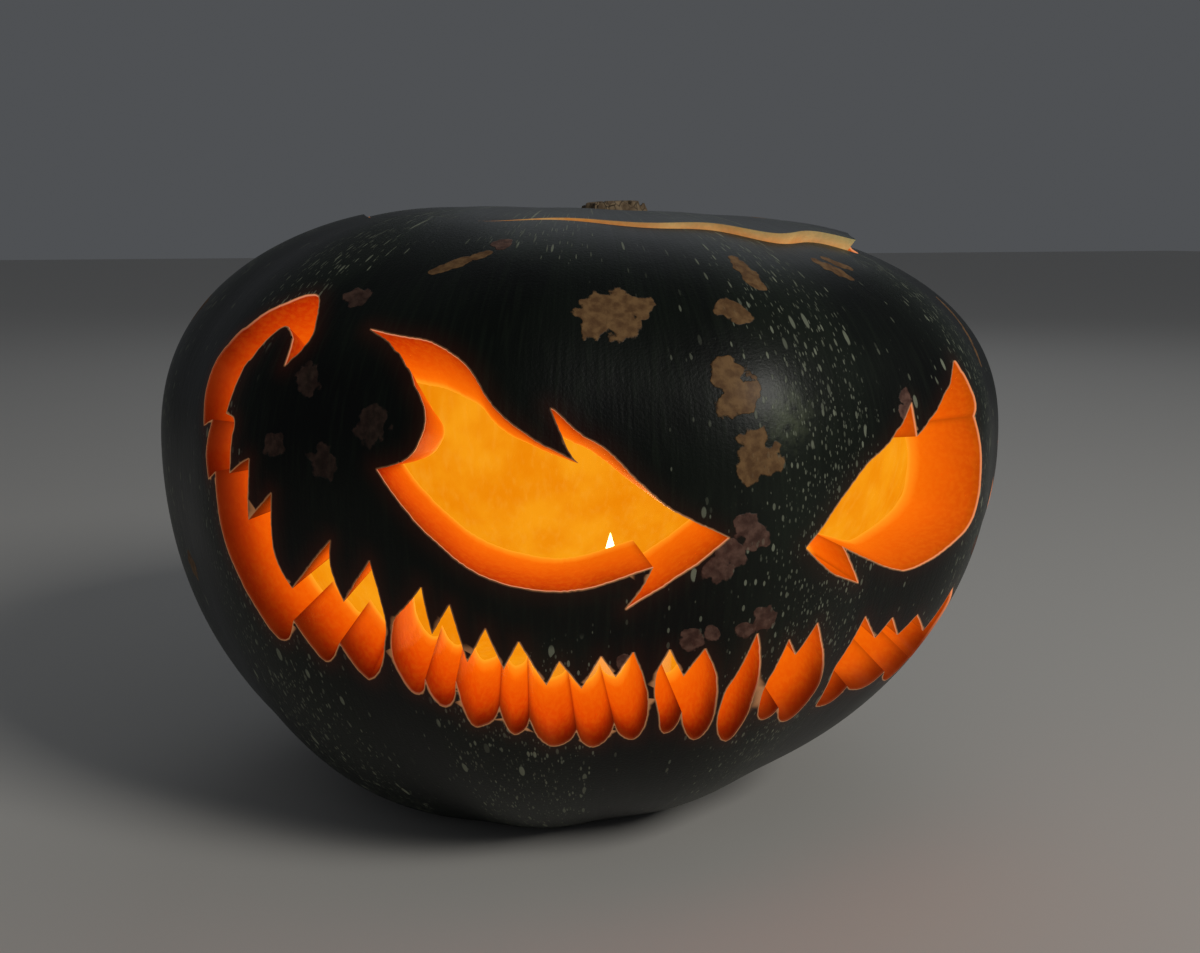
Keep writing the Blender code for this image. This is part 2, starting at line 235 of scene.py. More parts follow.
# The face: knife cuts through the wall, two slanting eyes and a toothed grin. Each cut line is read off
# the solid's own edges. A pull of the knife between corners is smooth, and its blade leaves faint streaks.
SKIN_SLACK = 0.0030
SHORTEST_RIM = 8
WIDEST_CUT = RADIUS * math.radians(150.0)
LINE_SLACK = 0.00014
CORNER = math.radians(72.0)
CUT_STEP = 0.0008
KNIFE_TURN = 0.3
KNIFE_LEVELS = (
    0.026, -0.0003, -0.0011, -0.0024, -0.0045, -0.0072, -0.0102, -0.0134, -0.0166, -0.0192, -0.029,
)
BLADE_STREAKS = 0.00016
STREAKS_PER_STEP = 0.9
BLADE_WANDER = 0.00030
WANDERS_PER_METRE = 130.0
CALM_STEPS = 7
STEEPEST_LATITUDE = 70.0
HALVINGS = 24
SLOPE_STEP = 0.5
CREASE_REACH = 0.0022
INNER_EDGE_REACH = 0.0030
SKIN_GLOW_REACH = 0.006
SHORT_SPAN = 0.0008


def rims(solid, skin):
    """Closed loops of points where a solid's skin meets its cut walls."""
    deep = {v: skin.find_nearest(v.co)[3] > SKIN_SLACK for v in solid.verts}
    inner = {f for f in solid.faces if any(deep[v] for v in f.verts)}
    near = {}
    for edge in solid.edges:
        if sum(f in inner for f in edge.link_faces) == 1:
            for here, there in (edge.verts, reversed(edge.verts)):
                near.setdefault(here, []).append(there)
    loops = []
    while near:
        here = next(iter(near))
        loop = []
        while here is not None:
            loop.append(here.co.copy())
            onward = near.pop(here)
            here = next((v for v in onward if v in near), None)
        loops.append(loop)
    return [loop for loop in loops if len(loop) > SHORTEST_RIM]


def unrolled(place):
    """A point of the skin as its way round the widest ring and its height."""
    return Vector((RADIUS * math.atan2(place.x, -place.y), place.z))


def thinned(line, slack):
    """The fewest of an open line's points that keep it within the slack."""
    start, end = line[0], line[-1]
    if (end - start).length < slack:
        off = [(p - start).length for p in line]
    else:
        way = (end - start).normalized()
        off = [abs((p - start).cross(way)) for p in line]
    worst = max(range(len(line)), key=lambda i: off[i])
    if off[worst] <= slack or len(line) < 3:
        return [start, end]
    return thinned(line[:worst + 1], slack)[:-1] + thinned(line[worst:], slack)


def knife_line(points):
    """A closed line's points, even and smooth between its corners, and whether each is a corner."""
    middle = sum(points, Vector((0.0, 0.0))) / len(points)
    far = max(range(len(points)), key=lambda i: (points[i] - middle).length)
    opened = points[far:] + points[:far + 1]
    stops = thinned(opened, LINE_SLACK)[:-1]
    count = len(stops)
    ways = [stops[(i + 1) % count] - stops[i] for i in range(count)]
    heads, sharp = [], []
    for i in range(count):
        before, after = ways[i - 1].normalized(), ways[i].normalized()
        sharp.append(before.angle(after, 0.0) > CORNER)
        heads.append((before + after).normalized() if not sharp[i] else None)
    line, corners = [], []
    for i in range(count):
        j = (i + 1) % count
        reach = ways[i].length
        leave = (heads[i] or ways[i].normalized()) * reach
        arrive = (heads[j] or ways[i].normalized()) * reach
        steps = max(1, round(reach / CUT_STEP))
        for k in range(steps):
            t = k / steps
            line.append((2 * t ** 3 - 3 * t ** 2 + 1) * stops[i] + (t ** 3 - 2 * t ** 2 + t) * leave
                        + (3 * t ** 2 - 2 * t ** 3) * stops[j] + (t ** 3 - t ** 2) * arrive)
            corners.append(k == 0 and sharp[i])
    return line, corners


def latitude_at(azimuth, height):
    """The latitude at which the skin reaches a height on one azimuth."""
    low, high = -STEEPEST_LATITUDE, STEEPEST_LATITUDE
    for _ in range(HALVINGS):
        middle = (low + high) / 2.0
        if grown(azimuth, middle, ribbed=False).z < height:
            low = middle
        else:
            high = middle
    return (low + high) / 2.0


def knife_frame(azimuth, height):
    """The smooth skin's point there, and the outward direction in which the knife is held."""
    latitude = latitude_at(azimuth, height)
    place = grown(azimuth, latitude, ribbed=False)
    east = grown(azimuth + SLOPE_STEP, latitude, ribbed=False) - place
    north = grown(azimuth, latitude + SLOPE_STEP, ribbed=False) - place
    out = east.cross(north).normalized()
    return place, Matrix.Rotation(math.radians(-KNIFE_TURN * azimuth), 3, "Z") @ out


def lofted(name, loops):
    """A closed mesh object through equal loops of points, its ends filled, pointing out."""
    mesh = bpy.data.meshes.new(name)
    model = bmesh.new()
    rows = [[model.verts.new(p) for p in loop] for loop in loops]
    for lower, upper in zip(rows, rows[1:]):
        for i in range(len(lower)):
            j = (i + 1) % len(lower)
            model.faces.new((lower[i], lower[j], upper[j], upper[i]))
    model.faces.new(rows[0])
    model.faces.new(rows[-1])
    bmesh.ops.recalc_face_normals(model, faces=model.faces)
    model.to_mesh(mesh)
    model.free()
    thing = bpy.data.objects.new(name, mesh)
    bpy.context.scene.collection.objects.link(thing)
    slotted(thing)
    in_material(thing, CUT)
    return thing


def knife_cut(name, line, corners, creases):
    """The block that one opening's cuts take out of the wall. Its corner lines join the creases."""
    stations = [knife_frame(math.degrees(p.x / RADIUS), p.y) for p in line]
    loops = [[] for _ in KNIFE_LEVELS]
    count = len(line)
    turns = [i for i in range(count) if corners[i]]
    for i, (place, out) in enumerate(stations):
        side = (stations[(i + 1) % count][0] - stations[i - 1][0]).cross(out).normalized()
        clear = min(min((i - turn) % count, (turn - i) % count) for turn in turns) / CALM_STEPS
        streak = BLADE_STREAKS * noise.noise(Vector((i * STREAKS_PER_STEP, 3.7, 0.0)))
        for loop, level in zip(loops, KNIFE_LEVELS):
            spot = place + level * out
            wander = BLADE_WANDER * noise.noise(spot * WANDERS_PER_METRE) + streak
            loop.append(spot + min(1.0, clear) * wander * side)
            if corners[i]:
                creases.append(spot)
    return lofted(name, loops)


def cut_by(thing, cutter, operation):
    """Cuts a mesh object by another and applies it. The cutter is removed."""
    picked(thing)
    step = thing.modifiers.new("cut", "BOOLEAN")
    step.object = cutter
    step.operation = operation
    step.solver = "EXACT"
    bpy.ops.object.modifier_apply(modifier=step.name)
    bpy.data.objects.remove(cutter)


solid = bmesh.new()
solid.from_mesh(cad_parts["pumpkin_shell"].data)
bmesh.ops.remove_doubles(solid, verts=solid.verts, dist=0.000002)
creases = []
cuts = []
seat = None
for rim in rims(solid, skin_tree):
    flat = [unrolled(p) for p in rim]
    if max(p.x for p in flat) > WIDEST_CUT:
        seat = sorted(flat, key=lambda p: p.x)
        continue
    line, corners = knife_line(flat)
    cuts.append(knife_cut(f"cut_{len(cuts) + 1}", line, corners, creases))
solid.free()

# The lid's seat is one slanting cut round the stem. The knife wandered, and it dips at two places. The
# lid's own cut lies a little inside it, because the blade took some flesh away.
SEAT_SLOPE = math.radians(51.0)
SEAT_ABOVE = 0.022
SEAT_BELOW = 0.038
SEAT_SIDES = 220
SEAT_LEVELS = 16
SEAT_EASING = (-0.05, -0.02, 0.0, 0.02, 0.05)
SEAT_RIPPLE = 0.00045
RIPPLES_PER_METRE = 60.0
LID_GAP = 0.0016
GIRTH = 2.0 * math.pi * RADIUS
FACE_TOP = EQUATOR + 0.75 * RISE


def seat_height(turn):
    """The height of the seat's rim at a way round the widest ring."""
    after = next((i for i, p in enumerate(seat) if p.x > turn), 0)
    low, high = seat[after - 1], seat[after]
    gap = (high.x - low.x) % GIRTH
    share = ((turn - low.x) % GIRTH) / gap if gap > 0.0 else 0.0
    return low.y + share * (high.y - low.y)


def seat_cone(name, gap):
    """The cone inside the seat's sloping cut, shrunk all round by a gap, with the knife's ripples."""
    loops = [[] for _ in range(SEAT_LEVELS)]
    for i in range(SEAT_SIDES):
        turn = -math.pi + 2.0 * math.pi * i / SEAT_SIDES
        heights = [seat_height(RADIUS * (turn + bend)) for bend in SEAT_EASING]
        azimuth = math.degrees(turn)
        rim = grown(azimuth, latitude_at(azimuth, sum(heights) / len(heights)), ribbed=False)
        out = Vector((math.sin(turn), -math.cos(turn), 0.0))
        slope = out * math.cos(SEAT_SLOPE) + Vector((0.0, 0.0, math.sin(SEAT_SLOPE)))
        for k, loop in enumerate(loops):
            level = SEAT_ABOVE - (SEAT_ABOVE + SEAT_BELOW) * k / (SEAT_LEVELS - 1)
            spot = rim - gap * out + slope * level
            loop.append(spot + SEAT_RIPPLE * noise.noise(spot * RIPPLES_PER_METRE) * out)
    return lofted(name, loops)


cutter = joined(*cuts, seat_cone("seat_cone", 0.0))
cut_by(shell, cutter, "DIFFERENCE")
cut_by(lid, seat_cone("lid_cone", LID_GAP), "INTERSECT")


def triangulated(thing):
    """Splits the many-sided faces that a cut leaves, so that they shade evenly."""
    picked(thing)
    all_edited()
    bpy.ops.mesh.remove_doubles(threshold=MERGE_BELOW)
    bpy.ops.mesh.quads_convert_to_tris()
    bpy.ops.object.mode_set(mode="OBJECT")
    bpy.ops.object.shade_smooth_by_angle(angle=math.radians(40.0))


def eased(thing):
    """Splits the rind's edges that run from cut to cut, so that what shows beside a cut can fade."""
    model = bmesh.new()
    model.from_mesh(thing.data)
    at_rim = {v for v in model.verts if {f.material_index for f in v.link_faces} == {RIND, CUT}}
    spans = [e for e in model.edges if at_rim.issuperset(e.verts) and e.calc_length() > SHORT_SPAN
             and all(f.material_index == RIND for f in e.link_faces)]
    bmesh.ops.subdivide_edges(model, edges=spans, cuts=2)
    bmesh.ops.triangulate(model, faces=[f for f in model.faces if len(f.verts) > 3])
    model.to_mesh(thing.data)
    model.free()


def measured(thing, name, values):
    """Writes one number for each vertex, which the materials read."""
    layer = thing.data.attributes.new(name, "FLOAT", "POINT")
    layer.data.foreach_set("value", values)


def flesh_depths(thing, skin):
    """Each vertex's depth under the skin, as a share of the wall."""
    return [min(1.0, skin.find_nearest(v.co)[3] / WALL) for v in thing.data.vertices]


def nearness(thing, spots, reach):
    """1 at the nearest of some points, falling smoothly to 0 at the reach."""
    if not spots:
        return [0.0] * len(thing.data.vertices)
    tree = kdtree.KDTree(len(spots))
    for i, spot in enumerate(spots):
        tree.insert(spot, i)
    tree.balance()
    return [max(0.0, 1.0 - tree.find(v.co)[2] / reach) ** 2 for v in thing.data.vertices]


def rim_points(thing, *between):
    """The points where two kinds of a cut thing's faces meet."""
    kinds = {}
    for face in thing.data.polygons:
        for corner in face.vertices:
            kinds.setdefault(corner, set()).add(face.material_index)
    return [thing.data.vertices[i].co.copy() for i, kind in kinds.items() if kind == set(between)]


for part in (shell, lid):
    triangulated(part)
    eased(part)
    measured(part, "depth", flesh_depths(part, skin_tree))
    measured(part, "crease", nearness(part, creases, CREASE_REACH))
    measured(part, "inner_edge", nearness(part, rim_points(part, CUT, SCOOPED), INNER_EDGE_REACH))
    face_rims = [p for p in rim_points(part, RIND, CUT) if p.z < FACE_TOP]
    measured(part, "lit_edge", nearness(part, face_rims, SKIN_GLOW_REACH))


class Wash:
    """A value that varies over a surface. Sums, products and powers of washes add Math nodes."""

    def __init__(self, tree, socket=None):
        self.tree = tree
        self.socket = socket

    def node(self, kind, settings=None, values=None, out=0):
        """Adds a node with its settings and its sockets' values or links, and gives one output."""
        made = self.tree.nodes.new("ShaderNode" + kind)
        for name, value in (settings or {}).items():
            if name == "stops":
                self.set_stops(made.color_ramp, value)
            else:
                setattr(made, name, value)
        for name, value in (values or {}).items():
            if isinstance(value, Wash):
                self.tree.links.new(value.socket, made.inputs[name])
            else:
                made.inputs[name].default_value = value
        return Wash(self.tree, made.outputs[out])

    @staticmethod
    def set_stops(ramp, stops):
        while len(ramp.elements) < len(stops):
            ramp.elements.new(0.5)
        for element, (place, colour) in zip(ramp.elements, stops):
            element.position = place
            element.color = (*colour, 1.0)

    def maths(self, operation, first, second=0.0):
        return self.node("Math", {"operation": operation}, {0: first, 1: second})

    def __add__(self, other):
        return self.maths("ADD", self, other)

    def __sub__(self, other):
        return self.maths("SUBTRACT", self, other)

    def __rsub__(self, other):
        return self.maths("SUBTRACT", other, self)

    def __mul__(self, other):
        return self.maths("MULTIPLY", self, other)

    def __truediv__(self, other):
        return self.maths("DIVIDE", self, other)

    def __pow__(self, other):
        return self.maths("POWER", self, other)

    __radd__ = __add__
    __rmul__ = __mul__

    def place(self):
        """Object coordinates."""
        return self.node("TexCoord", out=3)

    def clouds(self, place, scale, detail):
        """Soft random clouds, from 0 to 1."""
        return self.node("TexNoise", values={"Vector": place, "Scale": scale, "Detail": detail})

    def stored(self, name):
        """A number that the mesh holds for each vertex."""
        return self.node("Attribute", {"attribute_name": name}, out=2)

    def away(self, place, spot):
        """The distance from a spot."""
        return self.node("VectorMath", {"operation": "DISTANCE"}, {0: place, 1: spot}, out=1)

    def level(self, place):
        """The height of a place."""
        return self.node("SeparateXYZ", values={0: place}, out=2)

    def relief(self, height, strength, distance):
        """A bumped normal."""
        return self.node("Bump", values={"Height": height, "Strength": strength, "Distance": distance})

    def between(self, low, high):
        """0 below low, 1 above high, smooth between. Low may be the greater, which turns it round."""
        return self.node("MapRange", {"interpolation_type": "SMOOTHSTEP"},
                         {"Value": self, "From Min": low, "From Max": high})

    def mixed(self, first, second):
        """Colours mixed by this value."""
        values = {0: self, 6: paint(first), 7: paint(second)}
        return self.node("Mix", {"data_type": "RGBA"}, values, out=2)


def paint(colour):
    """A colour as a socket takes it."""
    return colour if isinstance(colour, Wash) else (*colour, 1.0)


def srgb(red, green, blue):
    """A colour given from 0 to 255, as a screen shows it."""
    parts = (c / 255.0 for c in (red, green, blue))
    return tuple(c / 12.92 if c <= 0.04045 else ((c + 0.055) / 1.055) ** 2.4 for c in parts)


def new_material(name, **constants):
    """A material's Principled shader with its constant sockets set, and a wash to build on."""
    material = bpy.data.materials.new(name)
    material.use_nodes = True
    shader = material.node_tree.nodes["Principled BSDF"]
    for socket, value in constants.items():
        shader.inputs[socket.replace("_", " ")].default_value = value
    return material, shader, Wash(material.node_tree)


def feed(shader, socket, wash):
    wash.tree.links.new(wash.socket, shader.inputs[socket])


# The rind is nearly black green with a soft wax gloss. Pale specks follow the ribs in rows, fine streaks
# run from stem to foot, and a painted dull red glow and a painted pale highlight lie beside the cuts. Each
# blotch has an azimuth, a height and a size in millimetres. They are corky and tan, where the fruit rubbed
# on the ground.
BLOTCHES = (
    (-20.4, 144.2, 4.6), (-18.0, 144.8, 4.2), (-15.4, 144.6, 3.2), (-20.6, 141.2, 4.0),
    (-17.8, 141.4, 4.4), (-3.9, 143.9, 3.4), (-3.0, 142.8, 2.8), (-5.4, 129.6, 4.4), (-4.4, 126.6, 4.3),
    (-5.6, 124.2, 3.4), (-2.9, 115.0, 4.0), (-1.6, 112.6, 3.8), (-3.3, 111.2, 3.2), (84, 120, 5.0),
    (96, 88, 4.5), (123, 138, 6.0), (131, 132, 3.6), (150, 96, 5.5), (176, 126, 7.0), (-171, 70, 4.8),
    (-146, 134, 6.4), (-139, 128, 3.8), (-118, 92, 5.5), (-97, 140, 4.8), (-84, 74, 4.0),
    (108, 58, 4.2), (-128, 52, 3.6), (140, 60, 5.0),
)
# Long marks, each from one place to another, and its half width
MARKS = (
    ((0.0, 154.6), (1.6, 148.6), 2.5), ((18.4, 153.6), (21.4, 149.6), 2.4),
    ((21.6, 154.2), (24.4, 151.6), 1.8), ((53.0, 142.0), (52.0, 136.5), 1.8),
    ((52.0, 136.5), (47.6, 126.0), 1.7), ((100, 142), (94, 126), 2.4),
    ((-130, 118), (-134, 100), 2.5), ((160, 148), (164, 138), 2.2), ((-38, 156), (-44, 152), 2.0),
)
MARK_STEPS = 8
# Scuffs, older and pinker than the corky blotches
SCUFFS = (
    (-3.6, 98.0, 3.2), (-2.6, 95.4, 3.0), (-5.4, 92.0, 3.2), (-6.6, 88.6, 3.0), (-0.8, 76.0, 3.2),
    (-3.0, 73.6, 2.4), (-8.6, 71.6, 3.0), (-6.8, 73.4, 2.2), (-16.0, 66.0, 2.6), (19.6, 122.6, 2.2),
    (18.8, 119.6, 1.8), (39, 80, 3.2), (-54, 128, 3.6), (-44, 119, 4.2), (-50, 110, 3.8),
    (-57, 113, 3.0), (-37, 158, 2.6), (-53, 146, 3.2), (120, 84, 5.0), (-110, 120, 5.0), (170, 60, 4.4),
)
# The left cheek between the hook and the eye lies in shade and has few specks; painted shade thins its
# specks, scuffs and lit rim
BARE_SHADED_CHEEK = (-38.0, 116.0, 62.0)
# A paler haze of fine specks between the eyes, under a painted sheen
HAZE_AND_SHEEN = (1.2, 121.0, 10.0)
BLACK = (0.0, 0.0, 0.0)
SPECK = srgb(146, 152, 130)
CORK = srgb(112, 79, 48)
CORK_PALE = srgb(138, 104, 66)
SCUFF = srgb(98, 64, 54)
SCUFF_PALE = srgb(134, 98, 84)
GREEN_DEEP = srgb(4, 6, 4)
GREEN_FRESH = srgb(11, 18, 11)
RIB_TURN = 0.20


def rind_coordinates(wash):
    """Object coordinates, and the same on a cylinder, so that a pattern can run along the meridians."""
    place = wash.place()
    split = wash.node("SeparateXYZ", values={0: place})
    x, y, z = (Wash(wash.tree, s) for s in split.socket.node.outputs)
    across = (x * x + y * y) ** 0.5 + 0.0001
    turn = wash.node("Math", {"operation": "ARCTAN2"}, {0: x, 1: y})
    return place, x / across, y / across, z, turn


def combined(wash, x, y, z):
    """Coordinates from three washes."""
    return wash.node("CombineXYZ", values={0: x, 1: y, 2: z})


def skin_place(azimuth, height):
    """The point of the skin at an azimuth and a height in millimetres."""
    return grown(azimuth, latitude_at(azimuth, height / 1000.0))


def row_along(mark):
    """A long mark as a row of small round ones."""
    start, end, width = mark
    for k in range(MARK_STEPS + 1):
        share = k / MARK_STEPS
        swell = 0.7 + 1.2 * share * (1.0 - share)
        azimuth, height = (a + share * (b - a) for a, b in zip(start, end))
        yield azimuth, height, width * swell


def away_from(wash, place, azimuth, height, size):
    """The distance from a place on the skin, in sizes of so many millimetres."""
    return wash.away(place, skin_place(azimuth, height)) * (1000.0 / size)


def blotch_mask(wash, place, spots):
    """1 inside marks of given places and sizes, with lobed and ragged edges."""
    ragged = wash.clouds(place, 420.0, 3.0)
    lobes = wash.clouds(place, 210.0, 1.0)
    nearest = None
    for spot in spots:
        share = away_from(wash, place, *spot)
        nearest = share if nearest is None else wash.maths("MINIMUM", nearest, share)
    return (nearest + lobes * 1.1 + ragged * 1.0 - 1.05).between(1.06, 0.90)


def cells(wash, place, scale):
    """Random small cells: the distance to each one's middle, and three numbers drawn for it."""
    spots = wash.node("TexVoronoi", values={"Vector": place, "Scale": scale, "Randomness": 1.0})
    drawn = wash.node("SeparateColor", values={0: Wash(wash.tree, spots.socket.node.outputs["Color"])})
    return (spots, *(Wash(wash.tree, s) for s in drawn.socket.node.outputs))


def make_rind(name, corky, scuffed, glow):
    """Dark green skin with specks, streaks, blotches and scuffs, a painted sheen between the eyes, and a
    painted glow and pale highlight beside the face's cuts.
    """
    material, shader, wash = new_material(
        name, Coat_Weight=0.05, Coat_Roughness=0.22, Specular_IOR_Level=0.20)
    place, ring_x, ring_y, height, turn = rind_coordinates(wash)
    broad = wash.clouds(place, 34.0, 3.0)
    streak_at = combined(wash, ring_x * RADIUS, ring_y * RADIUS, height * 0.10)
    streak = wash.clouds(streak_at, 900.0, 2.0)
    rib = wash.node("Math", {"operation": "COSINE"}, {0: (turn - RIB_TURN) * float(RIBS)}) * 0.5 + 0.5
    row_at = combined(wash, ring_x, ring_y, height * 2.0)
    row = wash.clouds(row_at, 4.0, 1.0)
    # Painted shade on the left cheek, with the skin's own sparse specks: it thins specks, scuffs and the
    # lit rim
    bare_shaded = away_from(wash, place, *BARE_SHADED_CHEEK).between(0.95, 0.55)
    crowd = (rib * 0.55 + row * 0.75 - bare_shaded * 0.9).between(0.42, 0.88)
    speck_at = combined(wash, ring_x * RADIUS, ring_y * RADIUS, height * 0.45)
    fine, fine_a, fine_b, fine_c = cells(wash, speck_at, 860.0)
    fine_chance = fine_b + crowd * 0.62 - bare_shaded * 0.5
    fine_specks = (fine - fine_a * 0.36).between(0.05, -0.08) * fine_chance.between(0.80, 1.04)
    large, large_a, large_b, large_c = cells(wash, speck_at, 430.0)
    large_chance = large_b + crowd * 0.26 - bare_shaded * 0.5
    large_specks = (large - large_a * 0.34).between(0.04, -0.06) * large_chance.between(0.90, 1.02)
    dust, dust_a, dust_b, dust_c = cells(wash, speck_at, 1500.0)
    dust_chance = dust_b + crowd * 0.9 - bare_shaded
    dust_specks = (dust - dust_a * 0.40).between(0.06, -0.10) * dust_chance.between(1.0, 1.3)
    small = wash.maths("MAXIMUM", fine_specks * (fine_c * 0.6 + 0.3), dust_specks * (dust_c * 0.4 + 0.3))
    specks = wash.maths("MAXIMUM", small, large_specks * (large_c * 0.4 + 0.6))
    cork = blotch_mask(wash, place, corky)
    scuff = blotch_mask(wash, place, scuffed)
    green = broad.between(0.3, 0.75).mixed(GREEN_DEEP, GREEN_FRESH)
    streaked = (streak.between(0.45, 0.75) * 0.20).mixed(green, srgb(34, 44, 30))
    pale_rib = (crowd * 0.12).mixed(streaked, srgb(56, 68, 52))
    # Painted sheen: a pale mottled patch between the eyes where the gloss lies, over paler speckled skin
    haze_and_sheen = (away_from(wash, place, *HAZE_AND_SHEEN) + streak * 0.9 - 0.4).between(1.0, 0.1) * 0.34
    mottle = wash.clouds(place, 520.0, 3.0)
    hazed_and_sheened = (haze_and_sheen * mottle.between(0.30, 0.62)).mixed(pale_rib, srgb(112, 122, 90))
    specked = (specks * 0.85).mixed(hazed_and_sheened, SPECK)
    worn = mottle.between(0.32, 0.68)
    corked = (cork * (mottle * 0.4 + 0.66)).mixed(specked, worn.mixed(CORK, CORK_PALE))
    shaded = scuff * (0.72 - bare_shaded * 0.50) * (mottle * 0.5 + 0.6)
    scuffed_skin = shaded.mixed(corked, worn.mixed(SCUFF, SCUFF_PALE))
    matt = wash.maths("MAXIMUM", cork, scuff)
    feed(shader, "Roughness", broad * 0.12 + streak * 0.10 + specks * 0.15 + matt * 0.28 + 0.30)
    pores = wash.clouds(place, 1500.0, 2.0)
    relief = streak * 0.25 + pores * 0.30 + specks * 0.35 + matt * (0.25 + mottle * 0.6) + broad * 2.0
    feed(shader, "Normal", wash.relief(relief, 0.55, 0.00035))
    if not glow:
        feed(shader, "Base Color", scuffed_skin)
        return material
    # Painted highlight and glow: a pale glowing line along the rind's edge at the face's cuts, thinned on
    # the shaded cheek, and a faint red glow beside it
    edge = wash.stored("lit_edge")
    rim = edge.between(0.86, 1.0) * (1.0 - bare_shaded * 0.6)
    feed(shader, "Base Color", (rim * 0.5).mixed(scuffed_skin, srgb(206, 160, 122)))
    halo = edge.mixed(BLACK, (0.009, 0.0010, 0.0002))
    feed(shader, "Emission Color", rim.mixed(halo, srgb(132, 84, 48)))
    shader.inputs["Emission Strength"].default_value = 1.0
    return material


# The flesh is wet, dense and orange. It is painted glowing as if lit from inside: amber where it was
# scooped, deep orange on the cuts, and redder towards the rind. A thin pale line runs under the rind, a
# painted highlight brightens the inner edge, and painted shade darkens the creases and the flesh far from
# the flame.
BRIGHTEST_PLACE = Vector((0.020, -0.030, 0.120))
CUT_STOPS = (
    (0.00, srgb(134, 24, 1)), (0.15, srgb(172, 40, 2)), (0.50, srgb(202, 68, 2)),
    (0.85, srgb(218, 90, 3)), (1.00, srgb(232, 116, 8)),
)


def make_cut_flesh(name):
    """The face's cuts: glowing flesh, graded by its depth and its place."""
    material, shader, wash = new_material(name, Emission_Strength=1.0, Specular_IOR_Level=0.08)
    place = wash.place()
    depth = wash.stored("depth")
    crease = wash.stored("crease")
    inner_edge = wash.stored("inner_edge")
    cloud = wash.clouds(place, 75.0, 3.0)
    grain = wash.clouds(place, 800.0, 3.0)
    ramp = wash.node("ValToRGB", {"stops": CUT_STOPS}, {0: depth + (cloud - 0.5) * 0.30})
    wet = (grain.between(0.35, 0.7) * 0.12).mixed(ramp, srgb(240, 132, 20))
    # Painted shade: the flesh darkens to deep red in the creases at the cuts' corners
    crease_shaded = (crease * 0.8).mixed(wet, srgb(128, 22, 1))
    # Painted highlight: a bright yellow line along the cut's inner edge
    edged = (inner_edge * 0.85).mixed(crease_shaded, srgb(246, 168, 40))
    line = depth.between(0.032, 0.010)
    lit = (line * 0.75).mixed(edged, srgb(216, 150, 112))
    # Painted light and shade: brighter near the flame's place, dark red towards the rind far from it and
    # low down
    away = wash.away(place, BRIGHTEST_PLACE)
    bright = (away.between(0.112, 0.086) * 0.20).mixed(lit, srgb(238, 134, 10))
    level = wash.level(place)
    far = away.between(0.1115, 0.130) * depth.between(0.75, 0.0)
    low = (level + (cloud - 0.5) * 0.012).between(0.070, 0.050) * depth.between(0.42, 0.0)
    dim = wash.maths("MAXIMUM", far, low) * 0.95
    feed(shader, "Emission Color", dim.mixed(bright, srgb(44, 8, 2)))
    base = depth.mixed(srgb(120, 48, 8), srgb(140, 66, 10))
    feed(shader, "Base Color", (line * (0.4 - dim * 0.4)).mixed(base, srgb(200, 150, 110)))
    feed(shader, "Roughness", grain * 0.25 + 0.40)
    feed(shader, "Normal", wash.relief(grain * 0.5 + cloud * 1.2, 0.5, 0.0004))
    return material


def make_scooped_flesh(name):
    """The hollow's wall: amber flesh painted glowing as if lit from inside, with fibres that run up and
    down.
    """
    material, shader, wash = new_material(name, Emission_Strength=1.0, Specular_IOR_Level=0.08)
    place = wash.place()
    cloud = wash.clouds(place, 60.0, 4.0)
    stretch = Vector((1.0, 1.0, 0.22))
    strand_at = wash.node("VectorMath", {"operation": "MULTIPLY"}, {0: place, 1: stretch})
    strand = wash.clouds(strand_at, 420.0, 3.0)
    amber = cloud.between(0.30, 0.72).mixed(srgb(230, 132, 5), srgb(238, 154, 20))
    fibred = (strand.between(0.45, 0.75) * 0.16).mixed(amber, srgb(246, 176, 58))
    feed(shader, "Emission Color", fibred)
    feed(shader, "Base Color", cloud.mixed(srgb(60, 36, 6), srgb(84, 54, 12)))
    feed(shader, "Roughness", strand * 0.25 + 0.42)
    feed(shader, "Normal", wash.relief(strand * 0.8 + cloud * 1.5, 0.6, 0.0005))
    return material


CORKY = (*BLOTCHES, *(spot for mark in MARKS for spot in row_along(mark)))
shell.data.materials[RIND] = make_rind("speckled_rind", CORKY, SCUFFS, glow=True)
shell.data.materials[CUT] = make_cut_flesh("lit_cut_flesh")
shell.data.materials[SCOOPED] = make_scooped_flesh("lit_scooped_flesh")
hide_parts("pumpkin_shell")
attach(shell, "root")

# The lid is the cut-out top. It dropped back a little crooked, so that its pale cut shows along the right.
LID_LIFT = 0.0012
LID_TILT = math.radians(-2.0)

crooked = (
    Matrix.Translation((0.0, 0.0, EQUATOR + RISE + LID_LIFT))
    @ Matrix.Rotation(LID_TILT, 4, "Y")
    @ Matrix.Translation((0.0, 0.0, -EQUATOR - RISE))
)
lid.data.transform(crooked)


